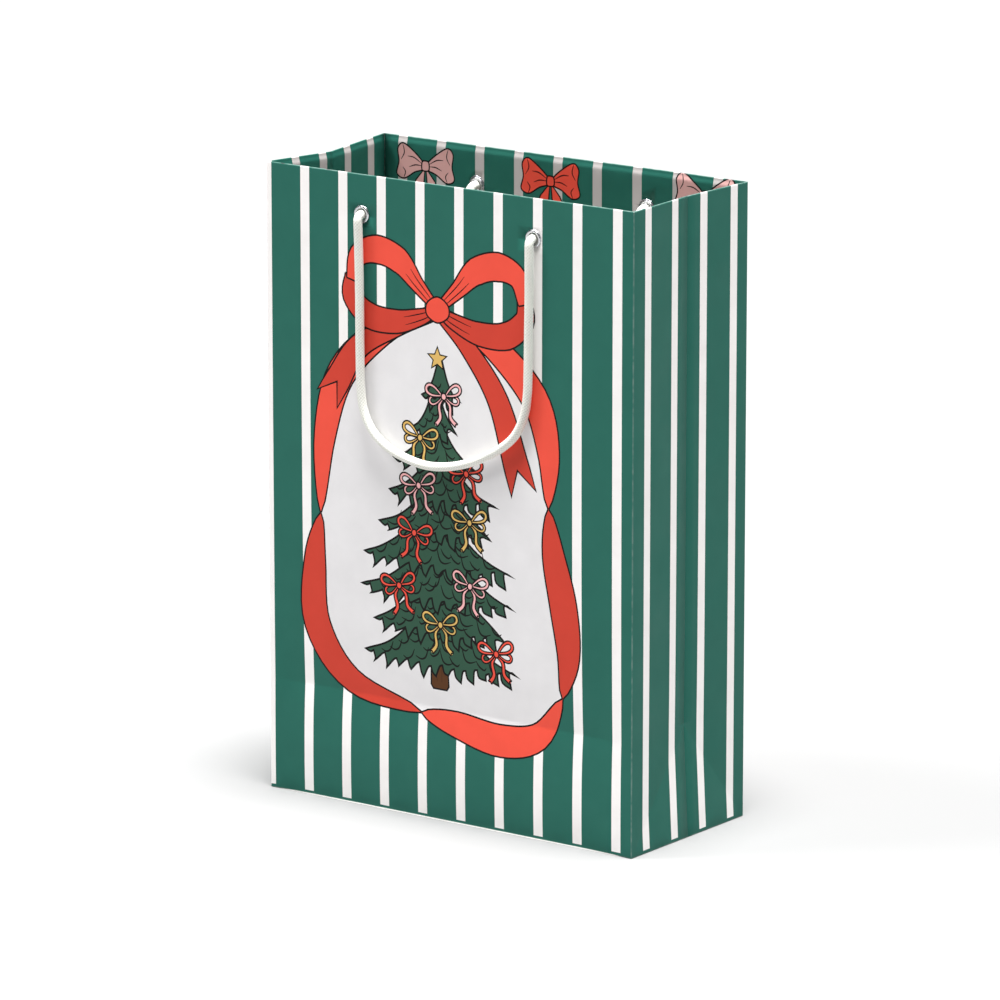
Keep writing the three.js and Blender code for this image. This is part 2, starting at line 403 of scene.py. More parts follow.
# HOLE is cut away, and BARE shows what lay under the group of shapes that it is drawn in
HOLE = "hole"
BARE = "bare"
BEND_STEP = 7.0
MOST_STRIPES = 10
THINNEST_STRIPE = 0.2
HOLE_CORNERS = 40


class Print:
    """Flat shapes laid over one another in order, then cut into one surface without gaps or overlaps."""

    def __init__(self, x0, x1, z0, z1, ground="green"):
        self.box = (x0, x1, z0, z1)
        self.points = []
        self.edges = []
        self.shapes = []
        self.group = 0
        self.fill([(x0, z0), (x1, z0), (x1, z1), (x0, z1)], ground)

    def draw_edges(self, line, closed=False):
        """Lines the triangles must follow, in steps short enough to bend with the sheet."""
        corners = np.asarray(line, float)
        ends = np.roll(corners, -1, axis=0) if closed else corners[1:]
        chain = []
        for a, b in zip(corners, ends):
            pieces = max(1, math.ceil(float(np.linalg.norm(b - a)) / BEND_STEP))
            chain += [a + (b - a) * k / pieces for k in range(pieces)]
        if not closed:
            chain.append(corners[-1])
        start = len(self.points)
        self.points += chain
        count = len(chain)
        for i in range(count if closed else count - 1):
            self.edges.append((start + i, start + (i + 1) % count))

    def fill(self, outline, tone):
        outline = np.asarray(outline, float)
        self.shapes.append((outline, tone, self.group))
        self.draw_edges(outline, closed=True)

    def strip(self, left, right, tone):
        """The band between two edges, as triangles so that a twist can't spoil it."""
        for i in range(len(left) - 1):
            self.shapes.append((np.array([left[i], right[i], right[i + 1]]), tone, self.group))
            self.shapes.append((np.array([left[i], right[i + 1], left[i + 1]]), tone, self.group))
        self.draw_edges([*left, *right[::-1]], closed=True)

    def stroke(self, line, width=0.9, closed=False, tapered=False):
        """A drawn line."""
        line = distinct(line)
        half = np.full(len(line), width / 2)
        if tapered:
            half *= 0.25 + 0.75 * np.sin(np.linspace(0.15, math.pi - 0.15, len(line)))
        left, right = sides_of(line, half, closed)
        if closed:
            left = np.vstack([left, left[:1]])
            right = np.vstack([right, right[:1]])
        self.strip(left, right, "black")

    def outlined(self, outline, tone, width=0.9):
        self.fill(outline, tone)
        self.stroke(outline, width, closed=True)

    def band(self, line, half_widths, tone, width=0.9):
        """A ribbon along a line, drawn with both its edges."""
        left, right = sides_of(line, half_widths)
        self.strip(left, right, tone)
        self.stroke(left, width)
        self.stroke(right, width)
        return left, right

    def stripes(self, wall_name, z0, z1, tone="white"):
        x_lo, x_hi = self.box[:2]
        first, pitch = STRIPES[wall_name]
        for i in range(MOST_STRIPES):
            lo = max(x_lo, first + i * pitch - STRIPE / 2)
            hi = min(x_hi, first + i * pitch + STRIPE / 2)
            if hi - lo > THINNEST_STRIPE:
                self.fill([(lo, z0), (hi, z0), (hi, z1), (lo, z1)], tone)

    def hole(self, x, z, radius):
        turns = np.linspace(0, 2 * math.pi, HOLE_CORNERS, endpoint=False)
        self.fill([(x + radius * math.cos(t), z + radius * math.sin(t)) for t in turns], HOLE)

    def lattice(self, step):
        """Points spread over the sheet, so that it can bend."""
        x0, x1, z0, z1 = self.box
        for x in np.linspace(x0, x1, max(3, int((x1 - x0) / step) + 1)):
            for z in np.linspace(z0, z1, max(3, int((z1 - z0) / step) + 1)):
                self.points.append((x, z))

    def cut(self):
        """The finished surface: points, triangles and an ink for each triangle."""
        found = geometry.delaunay_2d_cdt([Vector(p) for p in self.points], self.edges, [], 0, 1e-3, False)
        points = np.array([tuple(v) for v in found[0]])
        faces = np.array([list(f) for f in found[2]])
        middles = points[faces].mean(axis=1)
        from_left = np.argsort(middles[:, 0])
        faces = faces[from_left]
        middles = middles[from_left]
        tones = np.full(len(faces), HOLE, dtype=object)
        beneath = tones.copy()
        group = None
        for outline, tone, shape_group in self.shapes:
            if shape_group != group:
                beneath = tones.copy()
                group = shape_group
            chosen = inside(middles, outline)
            tones[chosen] = beneath[chosen] if tone == BARE else tone
        kept = np.flatnonzero(tones != HOLE)
        used, corners = np.unique(faces[kept], return_inverse=True)
        return points[used], corners.reshape(-1, 3).tolist(), tones[kept].tolist()


def inside(points, outline):
    """Which of the points, given from left to right, a closed outline winds round."""
    lo = outline.min(axis=0)
    hi = outline.max(axis=0)
    start, stop = np.searchsorted(points[:, 0], (lo[0], hi[0]))
    heights = points[start:stop, 1]
    near = start + np.flatnonzero((heights >= lo[1]) & (heights <= hi[1]))
    if not len(near):
        return near
    x = points[near, 0][:, None]
    y = points[near, 1][:, None]
    from_x, from_y = outline.T
    to_x, to_y = np.roll(outline, -1, axis=0).T
    side = (to_x - from_x) * (y - from_y) - (x - from_x) * (to_y - from_y)
    rising = (from_y <= y) & (to_y > y) & (side > 0)
    falling = (from_y > y) & (to_y <= y) & (side < 0)
    return near[(rising.sum(axis=1) - falling.sum(axis=1)) != 0]


def sheet_object(name, art, place, raw, thickness=SHEET, face_down=False):
    """Puts a cut print in its place as a thin sheet: printed on its outside, raw on its inside and rim."""
    points, faces, tones = art.cut()
    if face_down:
        faces = [f[::-1] for f in faces]
    mesh = bpy.data.meshes.new(name)
    mesh.from_pydata(place(points).tolist(), [], faces)
    names = sorted(set(tones))
    for tone in names:
        mesh.materials.append(INKS[tone])
    mesh.materials.append(raw)
    order = {tone: i for i, tone in enumerate(names)}
    mesh.polygons.foreach_set("material_index", [order[t] for t in tones])
    mesh.polygons.foreach_set("use_smooth", [not face_down] * len(faces))
    mesh.validate()
    sheet = add_object(name, mesh)
    solid = sheet.modifiers.new("paper thickness", "SOLIDIFY")
    solid.thickness = thickness * MM
    solid.offset = -1
    solid.material_offset = len(names)
    solid.material_offset_rim = len(names)
    return sheet


# -------- the drawing

def teardrop(length, height):
    """A bow's loop along +x with its point at the origin."""
    pinch = 1.3
    turns = np.linspace(0, 2 * math.pi, 26, endpoint=False)
    along = length * (1 - np.cos(turns)) / 2
    across = height / 2 * pinch * np.sin(turns) * np.sin(turns / 2) ** pinch
    return np.stack([along, across], axis=1)


def draw_bow(art, at, size, tone, lean, line):
    """A small ribbon bow: two tails, two open loops and a knot."""
    for sign in (-1, 1):
        base = -math.pi / 2 + sign * 0.36 + lean
        wave = smooth([(0, 0), (0.45, 0.12 * sign), (0.9, -0.06 * sign), (1.3, 0.08 * sign)], steps=5)
        path = turned(wave, base, size, at)
        half = size * np.linspace(0.06, 0.10, len(path))
        left, right = art.band(path, half, tone, line)
        notch = (left[-1] + right[-1]) / 2 + (path[-2] - path[-1]) * 0.8
        art.stroke([left[-1], notch, right[-1]], line)
    for sign in (-1, 1):
        for swing, reach in ((-0.28, 0.82), (0.42, 1.0)):
            art.group += 1
            angle = (0 if sign > 0 else math.pi) + sign * swing + lean
            loop = turned(teardrop(reach, 0.56 * reach), angle, size, at)
            opening = turned(teardrop(0.66 * reach, 0.28 * reach) + (0.2 * reach, 0), angle, size, at)
            art.fill(loop, tone)
            art.fill(opening, BARE)
            art.stroke(opening, line * 0.8, closed=True)
            art.stroke(loop, line, closed=True)
    art.group += 1
    turns = np.linspace(0, 2 * math.pi, 14, endpoint=False)
    knot = turned(np.stack([0.13 * np.cos(turns), 0.15 * np.sin(turns)], axis=1), lean, size, at)
    art.outlined(knot, tone, line)


def draw_puffed_bow(art, at, size, tone, lean, line):
    """A wide satin bow with full loops, folds running out from the knot and two broad tails."""
    def put(points, sign):
        return turned(np.array(points, float) * (sign, 1), lean, size, at)

    tail = [(0.02, -0.06), (0.34, -0.42), (0.66, -1.02), (0.40, -0.92), (0.22, -1.12), (0.06, -0.52)]
    loop = [(0.07, 0.09), (0.42, 0.40), (0.82, 0.62), (1.02, 0.44), (0.98, 0.06), (1.06, -0.32),
            (0.78, -0.44), (0.40, -0.22), (0.07, -0.10)]
    folds = [[(0.14, 0.07), (0.42, 0.22), (0.66, 0.24)], [(0.14, 0.0), (0.38, 0.0), (0.60, -0.08)],
             [(0.84, 0.60), (0.78, 0.34), (0.90, 0.12)], [(0.80, -0.42), (0.74, -0.24), (0.84, -0.10)]]
    for sign in (-1, 1):
        art.outlined(put(tail, sign), tone, line)
    for sign in (-1, 1):
        art.outlined(smooth(put(loop, sign), closed=True, steps=5), tone, line)
        for fold in folds:
            art.stroke(smooth(put(fold, sign), steps=4), line * 0.8, tapered=True)
    knot = [(-0.12, 0.12), (0.0, 0.16), (0.12, 0.12), (0.13, -0.10), (0.0, -0.15), (-0.13, -0.11)]
    art.outlined(smooth(put(knot, 1), closed=True, steps=4), tone, line)


def draw_star(art, at, radius):
    points = []
    for i in range(10):
        reach = radius if i % 2 == 0 else radius * 0.45
        angle = math.pi / 2 + i * math.pi / 5
        points.append((at[0] + reach * math.cos(angle), at[1] + reach * math.sin(angle)))
    art.outlined(points, "gold", 0.7)


def draw_tier(art, middle, top, bottom, half, seed):
    """One skirt of branches: hollow sides out to upturned tips, and a lower edge of drooping tufts."""
    height = top - bottom
    reach_left = half * (1 + 0.13 * math.sin(3.1 * seed + 0.4))
    reach_right = half * (1 + 0.13 * math.sin(2.3 * seed + 2.0))
    waist = bottom + 0.50 * height
    hip = bottom + 0.20 * height
    left = smooth([(middle - 0.12 * half, top), (middle - 0.40 * half, waist),
                   (middle - 0.70 * half, hip), (middle - reach_left, bottom + 1.5)], steps=5)
    right = smooth([(middle + reach_right, bottom + 0.5), (middle + 0.70 * half, hip),
                    (middle + 0.40 * half, waist), (middle + 0.12 * half, top)], steps=5)
    tufts = max(4, int((reach_left + reach_right) / 7.5))
    step = (reach_left + reach_right) / tufts
    hem = [tuple(left[-1])]
    for k in range(tufts):
        outward = (k + 1) / tufts * 2 - 1
        level = bottom - 3.0 * (1 - outward ** 2)
        depth = 3.6 + 1.8 * math.sin(2.7 * seed + 1.9 * k)
        edge = middle - reach_left + (k + 1) * step
        valley = (edge - 0.45 * step - 0.15 * step * outward, level + 2.2 + 0.8 * math.sin(seed + 2.3 * k))
        hem += smooth([hem[-1], (valley[0] - 0.25 * step, valley[1] - 1.0), valley], steps=3).tolist()
        if k < tufts - 1:
            tip = (edge + 0.35 * step * outward, level - depth)
            hem += smooth([valley, (valley[0] + 0.15 * step, level - 0.5 * depth), tip], steps=3).tolist()
    art.outlined(distinct(np.vstack([left, np.array(hem), right])), "fir", 1.05)
    size = min(1.0, half / 24)
    for row in range(3):
        marks = max(1, int(half / (4.4 + 2.2 * row)))
        for k in range(marks):
            outward = (k + 0.5) / marks * 2 - 1
            x = middle + outward * half * (0.80 - 0.2 * row) + 1.5 * math.sin(seed + 5 * k + row)
            z = bottom + height * (0.04 + 0.15 * row + 0.05 * math.sin(3 * seed + 2 * k))
            side = size if outward > 0 else -size
            reach = 1.1 + 0.35 * math.sin(2 * seed + 3 * k)
            curl = [(x - side * 3.0, z + 5.8 * size * reach), (x - side * 1.2, z + 1.9 * size),
                    (x + side * 1.8, z + 0.3), (x + side * 4.2 * reach, z + 1.6)]
            art.stroke(smooth(curl, steps=3), 0.95, tapered=True)


TIERS = 9
TREE_HEIGHTS = (0.0, 0.25, 0.45, 0.75, 1.0)
TREE_HALVES = (43, 48, 42, 25, 9)


def draw_tree(art, middle, foot, top):
    trunk = [(middle - 4.8, foot + 14), (middle - 5.6, foot - 11), (middle - 4.2, foot - 13),
             (middle + 4.2, foot - 13), (middle + 5.6, foot - 11), (middle + 4.8, foot + 14)]
    art.outlined(trunk, "brown", 0.9)
    for shift in (-1.8, 1.2):
        art.stroke([(middle + shift, foot - 9), (middle + shift * 1.2, foot + 2)], 0.4, tapered=True)
    for i in range(TIERS):
        share = i / (TIERS - 1)
        bottom = foot + (top - foot - 17) * share
        height = 40 - 20 * share
        half = float(np.interp(share, TREE_HEIGHTS, TREE_HALVES)) + 2.5 * math.sin(2.4 * i + 0.9)
        draw_tier(art, middle + 2.0 * math.sin(1.7 * i), bottom + height, bottom, half, i)


RIBBON_HALF = 8.2


def draw_ribbon_frame(art, middle):
    """A pale field inside a ribbon that twists on its way round."""
    turns = [
        [(-2, 265), (-34, 251), (-61, 226), (-72, 192), (-75, 151)],
        [(-75, 151), (-79, 126), (-78, 92), (-56, 65), (-12, 55)],
        [(-12, 55), (10, 52), (38, 48), (62, 54), (77, 76)],
        [(77, 76), (81, 98), (78, 124), (72, 150), (69, 173)],
        [(69, 173), (69, 202), (60, 229), (34, 252), (2, 265)],
    ]
    around = np.array([p for run in turns for p in run[:-1]], float) + (middle, 0)
    art.group += 1
    art.fill(smooth(around, closed=True, steps=6), "field")
    # each run narrows to a twist, but the first and the last stay wide where they meet under the bow
    for i, run in enumerate(turns):
        line = smooth(np.array(run, float) + (middle, 0), steps=6)
        share = np.linspace(0, 1, len(line))
        half = RIBBON_HALF * np.sin(math.pi * share) ** 0.62 + 0.25
        if i == 0:
            half = np.where(share < 0.5, np.maximum(half, 3.0 + 10.0 * share), half)
        if i == len(turns) - 1:
            half = np.where(share > 0.5, np.maximum(half, 3.0 + 10.0 * (1 - share)), half)
        art.band(line, half, "deep_red" if i % 2 else "red")


def draw_tail(art, points, half):
    """A ribbon's loose end with a notched tip."""
    line = smooth(points, steps=7)
    grow = half * np.linspace(0.45, 1.0, len(line))
    left, right = art.band(line, grow, "deep_red")
    onward = (line[-1] - line[-2]) / np.linalg.norm(line[-1] - line[-2])
    point = onward * half * 1.5
    tips = [left[-1], left[-1] + point, line[-1] - onward * 0.2, right[-1] + point, right[-1]]
    art.fill(tips, "deep_red")
    art.stroke(tips)


def draw_big_bow(art, middle, knot_z):
    """The bow that the ribbon frame hangs from."""
    def put(points, sign=1):
        return [(middle + sign * x, knot_z + z) for x, z in points]

    draw_tail(art, put([(3, -3), (20, -18), (38, -42), (50, -76)]), 8.0)
    draw_tail(art, put([(-4, -3), (-26, -12), (-50, -25), (-64, -45)]), 7.6)
    under = [(54, 12), (54, 1), (43, -8), (26, -9), (11, -5), (2, -1)]
    over = [(2, 2), (13, 12), (24, 22.5), (38, 26.5), (50, 22), (54, 9)]
    parts = [
        (under, (4.2, 6.0, 7.0, 6.2, 4.4, 2.6), "deep_red", slice(-12, None)),
        (over, (2.6, 4.4, 7.0, 7.4, 5.8, 3.6), "red", slice(None, 12)),
    ]
    for sign in (-1, 1):
        for route, halves, tone, near_knot in parts:
            line = smooth(put(route, sign), steps=6)
            half = np.interp(np.arange(len(line)), np.arange(len(halves)) * 6, halves)
            left, right = art.band(line, half, tone)
            for k in (0, -1):
                art.stroke([left[k], right[k]])
            for fold in sides_of(line[near_knot], half[near_knot] * 0.36):
                art.stroke(fold[1:-2], 0.6, tapered=True)
    knot = put([(-6.5, 3), (0, 6.8), (6.5, 3.2), (6.8, -3), (0, -6.6), (-6.6, -3.2)])
    art.outlined(smooth(knot, closed=True, steps=6), "red")


# Where the drawing lies on its panel, in millimetres from the middle and from the foot
DRAWING_MIDDLE = -6
BIG_KNOT_Z = 266
TREE_FOOT = 82
TREE_TOP = 237
STAR_Z = 241
SMALL_BOWS = [
    (4, 222, "pink", 0.1), (-11, 199, "gold", -0.1), (18, 184, "red", 0.2), (-12, 174, "pink", 0.15),
    (20, 159, "gold", 0.1), (-15, 149, "red", -0.15), (20, 126, "pink", -0.1), (-25, 120, "red", 0.2),
    (1, 103, "gold", 0.05), (36, 93, "red", 0.15),
]


def draw_front(art):
    draw_ribbon_frame(art, DRAWING_MIDDLE)
    draw_big_bow(art, DRAWING_MIDDLE, BIG_KNOT_Z)
    art.group += 1
    draw_tree(art, DRAWING_MIDDLE, TREE_FOOT, TREE_TOP)
    draw_star(art, (DRAWING_MIDDLE, STAR_Z), 6.2)
    for x, z, tone, lean in SMALL_BOWS:
        draw_bow(art, (DRAWING_MIDDLE + x, z), 12.4, tone, lean, 0.8)


# -------- walls

class Wall:
    """One upright side of the bag, seen from outside: a runs to the right along it and z up."""

    def __init__(self, along, outward, half, reach):
        self.along = np.array(along, float)
        self.outward = np.array(outward, float)
        self.half = half
        self.reach = reach

    def crease(self, a, z):
        """How far the sheet lies inside the flat wall: a valley at the crease, a belly, a soft foot."""
        window = 1 - np.clip(np.abs(a) / self.half, 0, 1) ** 6
        drop = z - CREASE_Z
        valley = CREASE_DEPTH * np.where(drop > 0, np.exp(-drop / FADE_ABOVE), np.exp(drop / FADE_BELOW))
        foot = FOOT_DEPTH * np.exp(-z / FOOT_FADE)
        bulge = np.sin(math.pi * np.clip(z / HEIGHT, 0, 1)) ** 1.5
        belly = BELLY * np.cos(math.pi * a / 2 / self.half) * bulge
        return (valley + foot - belly) * window

    def metres(self, a, sideways, inward, height):
        """Places a on the flat sheet as points of the part, from millimetres sideways, inward and up."""
        along = self.along[None, :] * sideways[:, None]
        outward = self.outward[None, :] * (self.reach - inward)[:, None]
        return np.column_stack([along + outward, height]) * MM

    def place(self, points, depth=0.0):
        """Points (a, z) on the wall's outside, as metres; the upright edges and the foot are rounded."""
        a = points[:, 0]
        z = points[:, 1]
        limit = self.half - HALF_FOLD
        from_edge = self.half - np.abs(a)
        angle = np.clip(HALF_FOLD - from_edge, 0, HALF_FOLD) / FOLD_RADIUS
        flat = np.minimum(np.abs(a), limit) * (self.half - FOLD_RADIUS) / limit
        sideways = np.sign(a) * (flat + FOLD_RADIUS * np.sin(angle))
        bend = np.clip(WHOLE_FOLD - z, 0, WHOLE_FOLD) / FOLD_RADIUS
        inward = FOLD_RADIUS * (1 - np.cos(angle)) + depth + self.crease(a, z)
        inward = inward + FOLD_RADIUS * (1 - np.cos(bend))
        height = np.where(z < WHOLE_FOLD, FOLD_RADIUS * (1 - np.sin(bend)), z - WHOLE_FOLD + FOLD_RADIUS)
        stretch = (HEIGHT - FOLD_RADIUS) / (HEIGHT - WHOLE_FOLD)
        height = FOLD_RADIUS + (height - FOLD_RADIUS) * np.where(height > FOLD_RADIUS, stretch, 1.0)
        return self.metres(a, sideways, inward, height)

    def place_hem(self, points):
        """Points (a, v): v runs from the outside over the top edge and down inside the stiffener."""
        a = points[:, 0]
        v = points[:, 1]
        turn = np.clip(v, 0, OVER_TOP) / TOP_RADIUS
        below = np.clip(v - OVER_TOP, 0, None)
        spread = HEM_DEPTH - 2 * TOP_RADIUS
        step = spread * (1 - np.cos(math.pi * np.clip(below / HEM_STEP, 0, 1))) / 2
        inward = TOP_RADIUS * (1 - np.cos(turn)) + step
        height = HEIGHT - TOP_RADIUS + TOP_RADIUS * np.sin(turn) - below
        narrowed = np.where(np.abs(a) > self.half - HEM_CORNER, 1 - inward / self.half, 1.0)
        return self.metres(a, a * narrowed, inward + self.crease(a, height), height)


class Gusset(Wall):
    """A side wall, tucked in along its middle and a little lower there."""

    def __init__(self, along, outward, half, reach, tuck_at_top, dip=0.0):
        super().__init__(along, outward, half, reach)
        self.tuck_at_top = tuck_at_top
        self.dip = dip

    def crease(self, a, z):
        """Tucked in along the middle, most of all where the creases from the lower corners meet."""
        tuck = 1 - np.clip(np.abs(a) / self.half, 0, 1)
        above = np.clip(z - CREASE_Z, 0, None)
        rise = np.clip((z - CREASE_Z) / (HEIGHT - CREASE_Z), 0, 1)
        depth = TUCK_AT_MIDDLE + (self.tuck_at_top - TUCK_AT_MIDDLE) * rise ** 2
        depth = depth + (TUCK_AT_CREASE - TUCK_AT_MIDDLE) * np.exp(-above / FADE_ABOVE)
        return depth * np.minimum(tuck, np.clip(z / CREASE_Z, 0, 1))

    def metres(self, a, sideways, inward, height):
        placed = super().metres(a, sideways, inward, height)
        tuck = 1 - np.clip(np.abs(a) / self.half, 0, 1)
        near_top = np.clip(1 - (HEIGHT * MM - placed[:, 2]) / (DIP_REACH * MM), 0, 1)
        placed[:, 2] -= self.dip * MM * tuck * near_top ** 2
        return placed


WALLS = {
    "front": Wall((1, 0), (0, -1), WIDTH / 2, DEPTH / 2),
    "back": Wall((-1, 0), (0, 1), WIDTH / 2, DEPTH / 2),
    "right": Gusset((0, 1), (1, 0), DEPTH / 2, WIDTH / 2, 2.5),
    "left": Gusset((0, -1), (-1, 0), DEPTH / 2, WIDTH / 2, 2.6, 2.2),
}
BODY_OF_FACE = {"front": "front", "back": "root"}
CREASE_ROWS = (-1.0, -0.3, 0.3, 1.0)
HEM_BOWS = [(86.5, 14, "rose"), (6.7, 13, "red"), (-89.6, 10, "rose")]
HEM_BOW_SIZE = 17.5
EYELET_PLACES = (-EYELET_X, EYELET_X)
HEM_GAP = 0.1
CARD_MARGIN = 7.5
CARD_DROPS = (41, 4)


def top_rows(top):
    """Close rows under a cut edge, which keep its shading from spreading down the sheet."""
    return [top - 0.15, top - 0.6]


def wall_rows():
    """The heights at which a wall bends: its rounded foot, its crease and its cut edge."""
    foot = [WHOLE_FOLD * k / 4 for k in range(1, 5)]
    crease = [CREASE_Z + row for row in CREASE_ROWS]
    return [*foot, *crease, *top_rows(WALL_TOP)]


def hem_rows():
    """Where a hem bends: over the top edge, then in behind the stiffener, and its cut edge."""
    over = [OVER_TOP * k / 8 for k in range(1, 9)]
    behind = [OVER_TOP + 0.7 * k for k in range(1, 6)]
    return [*over, *behind, *top_rows(HEM_OVERLAP)]


def draw_rows(art, rows):
    x0, x1 = art.box[:2]
    for z in rows:
        art.draw_edges([(x0, z), (x1, z)])


def draw_columns(art, half, signs):
    """Upright lines beside the corners, where the sheet is rounded."""
    for share in (0.33, 0.66, 1):
        for sign in signs:
            x = sign * (half - HALF_FOLD * share)
            art.draw_edges([(x, 0), (x, WALL_TOP)])


def install(piece, body, node):
    """What a piece rides on, and the node of the CAD that it stands for, which is hidden."""
    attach(piece, body)
    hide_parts(node)


def make_hem(wall_name, name, x0, x1, bows=(), eyelets=()):
    """A wall's turned-in hem, with its own print; its white stripes are a darker white, painted shade for
    the inside of the bag.
    """
    art = Print(x0, x1, 0, HEM_OVERLAP)
    # painted shade: the stripes use the darker white that stands in for the shade inside the bag
    art.stripes(wall_name, 0, HEM_OVERLAP, "shaded white")
    for x, drop, tone in bows:
        draw_puffed_bow(art, (x, OVER_TOP + drop), HEM_BOW_SIZE, tone, math.pi, 0.8)
    draw_rows(art, hem_rows())
    art.lattice(9)
    for x in eyelets:
        art.hole(x, HEIGHT - TOP_RADIUS - EYELET_Z + OVER_TOP, EYELET_HOLE)
    return sheet_object(name, art, WALLS[wall_name].place_hem, RAW, HEM_SHEET)


def make_panel(face):
    """The front or back panel with its printed hem, and the stiffener between them."""
    wall = WALLS[face]
    body = BODY_OF_FACE[face]
    half = WIDTH / 2
    art = Print(-half, half, 0, WALL_TOP)
    art.stripes(face, BASE_BAND, WALL_TOP)
    draw_front(art)
    draw_columns(art, half, (-1, 1))
    draw_rows(art, wall_rows())
    art.lattice(7)
    for x in EYELET_PLACES:
        art.hole(x, EYELET_Z, EYELET_HOLE)
    panel = sheet_object(f"{face}_panel_print", art, wall.place, RAW)
    install(panel, body, f"{face}_panel")

    end = half - HEM_GAP
    hem = make_hem(face, f"{face}_hem_print", -end, end, HEM_BOWS, EYELET_PLACES)
    install(hem, body, f"{face}_top_hem")

    card_half = half - CARD_MARGIN
    bottom, top = (HEIGHT - drop for drop in CARD_DROPS)
    art = Print(-card_half, card_half, bottom, top, "board")
    art.lattice(12)
    for x in EYELET_PLACES:
        art.hole(x, EYELET_Z, EYELET_HOLE)
    under_print = SHEET + 0.03
    card = sheet_object(f"{face}_stiffener", art, lambda p: wall.place(p, under_print), BOARD, STIFFENER)
    install(card, body, f"{face}_stiffener_card")


def make_gusset(side, face):
    """Half of a gusset, from its middle crease to the front or back corner, with its hem."""
    body = f"{side}_gusset_{face}"
    sign = FACES[face] * SIDES[side]
    half = DEPTH / 2
    art = Print(*sorted((0, sign * half)), 0, WALL_TOP)
    art.stripes(side, BASE_BAND, WALL_TOP)
    draw_columns(art, half, (sign,))
    for row in CREASE_ROWS:
        art.draw_edges([(0, CREASE_Z + row), (sign * half * min(1, 1 + row / CREASE_Z), max(row, 0))])
    draw_rows(art, wall_rows())
    art.lattice(7)
    half_sheet = sheet_object(f"{body}_print", art, WALLS[side].place, RAW)
    install(half_sheet, body, f"{body}_half")

    hem = make_hem(side, f"{body}_hem_print", *sorted((0, sign * (half - HEM_GAP))))
    install(hem, body, f"{body}_hem")


def make_side_seam():
    """The glued strip of the sheet inside the back panel."""
    lo, hi = (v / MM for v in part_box("side_seam_flap"))
    wall = WALLS["back"]
    art = Print(-hi.x, -lo.x + 2, 2.5, hi.z, "seam")
    art.lattice(6)
    under_print = SHEET + 0.08
    seam = sheet_object("side_seam_sheet", art, lambda p: wall.place(p, under_print), RAW, HEM_SHEET)
    install(seam, "root", "side_seam_flap")


# -------- base

FLAP_TAPER = 6
FRONT_FLAP_STOP = 20
BACK_FLAP_STOP = 30
SIDE_FLAP_REACH = 46
SIDE_FLAP_SHEET = 0.35
BASE_CARD = 0.9
FLAP_Z = 0.02
SIDE_FLAP_Z = 0.95
BASE_CARD_Z = 1.35
BACK_FLAP_RISE = 0.45


def make_base_sheet(name, node, outline, z, thickness, raw, tone, lift=None):
    """A flap of the base, or its card, lying flat and face down."""
    xs = [p[0] for p in outline]
    ys = [p[1] for p in outline]
    art = Print(min(xs), max(xs), min(ys), max(ys), HOLE)
    art.fill(outline, tone)
    art.lattice(8)

    def place(points):
        height = z + (lift(points[:, 1]) if lift else 0)
        return np.column_stack([points, np.full(len(points), height)]) * MM

    sheet = sheet_object(name, art, place, raw, thickness, face_down=True)
    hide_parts(node)
    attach(sheet, "root")
    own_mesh(sheet)


def rounded_rectangle(x, y, radius, steps=6):
    points = []
    for i, (sx, sy) in enumerate(((1, 1), (-1, 1), (-1, -1), (1, -1))):
        for k in range(steps + 1):
            turn = (i + k / steps) * math.pi / 2
            across = sx * (x - radius) + radius * math.cos(turn)
            points.append((across, sy * (y - radius) + radius * math.sin(turn)))
    return points


def make_base():
    """The four glued flaps, from the outer one up, and the loose card."""
    half = WIDTH / 2 - FOLD_RADIUS
    fold = DEPTH / 2 - FOLD_RADIUS
    tip = half - FLAP_TAPER
    front_edge = DEPTH / 2 - FRONT_FLAP_STOP
    back_edge = -DEPTH / 2 + BACK_FLAP_STOP

    def rise(y):
        """The back flap steps up onto the front one."""
        return BACK_FLAP_RISE * np.clip((DEPTH / 2 - 12 - y) / 6, 0, 1)

    front = [(-half, -fold), (half, -fold), (tip, front_edge), (-tip, front_edge)]
    back = [(-tip, back_edge), (tip, back_edge), (half, fold), (-half, fold)]
    flaps = [("front", front, FLAP_Z, SHEET, None), ("back", back, FLAP_Z, SHEET, rise)]
    root = DEPTH / 2 - 1
    end = root - SIDE_FLAP_REACH / 2
    for side, sign in SIDES.items():
        near = sign * half
        far = sign * (half - SIDE_FLAP_REACH)
        outline = [(near, -root), (near, root), (far, end), (far, -end)]
        flaps.append((side, outline[::sign], SIDE_FLAP_Z, SIDE_FLAP_SHEET, None))
    for flap, outline, z, thickness, lift in flaps:
        make_base_sheet(f"base_{flap}_flap_sheet", f"base_flap_{flap}", outline, z,
                        thickness, RAW, "green", lift)
    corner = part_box("base_card")[1] / MM
    make_base_sheet("base_card_sheet", "base_card", rounded_rectangle(corner.x, corner.y, 3),
                    BASE_CARD_Z, BASE_CARD, CARD, "card")


# -------- eyelets

EYELET_BORE = 3.0


def arc(x, y, radius_x, radius_y, start, end, count):
    """Points round part of an ellipse."""
    turns = np.linspace(start, end, count)
    return [(x + radius_x * math.cos(t), y + radius_y * math.sin(t)) for t in turns]


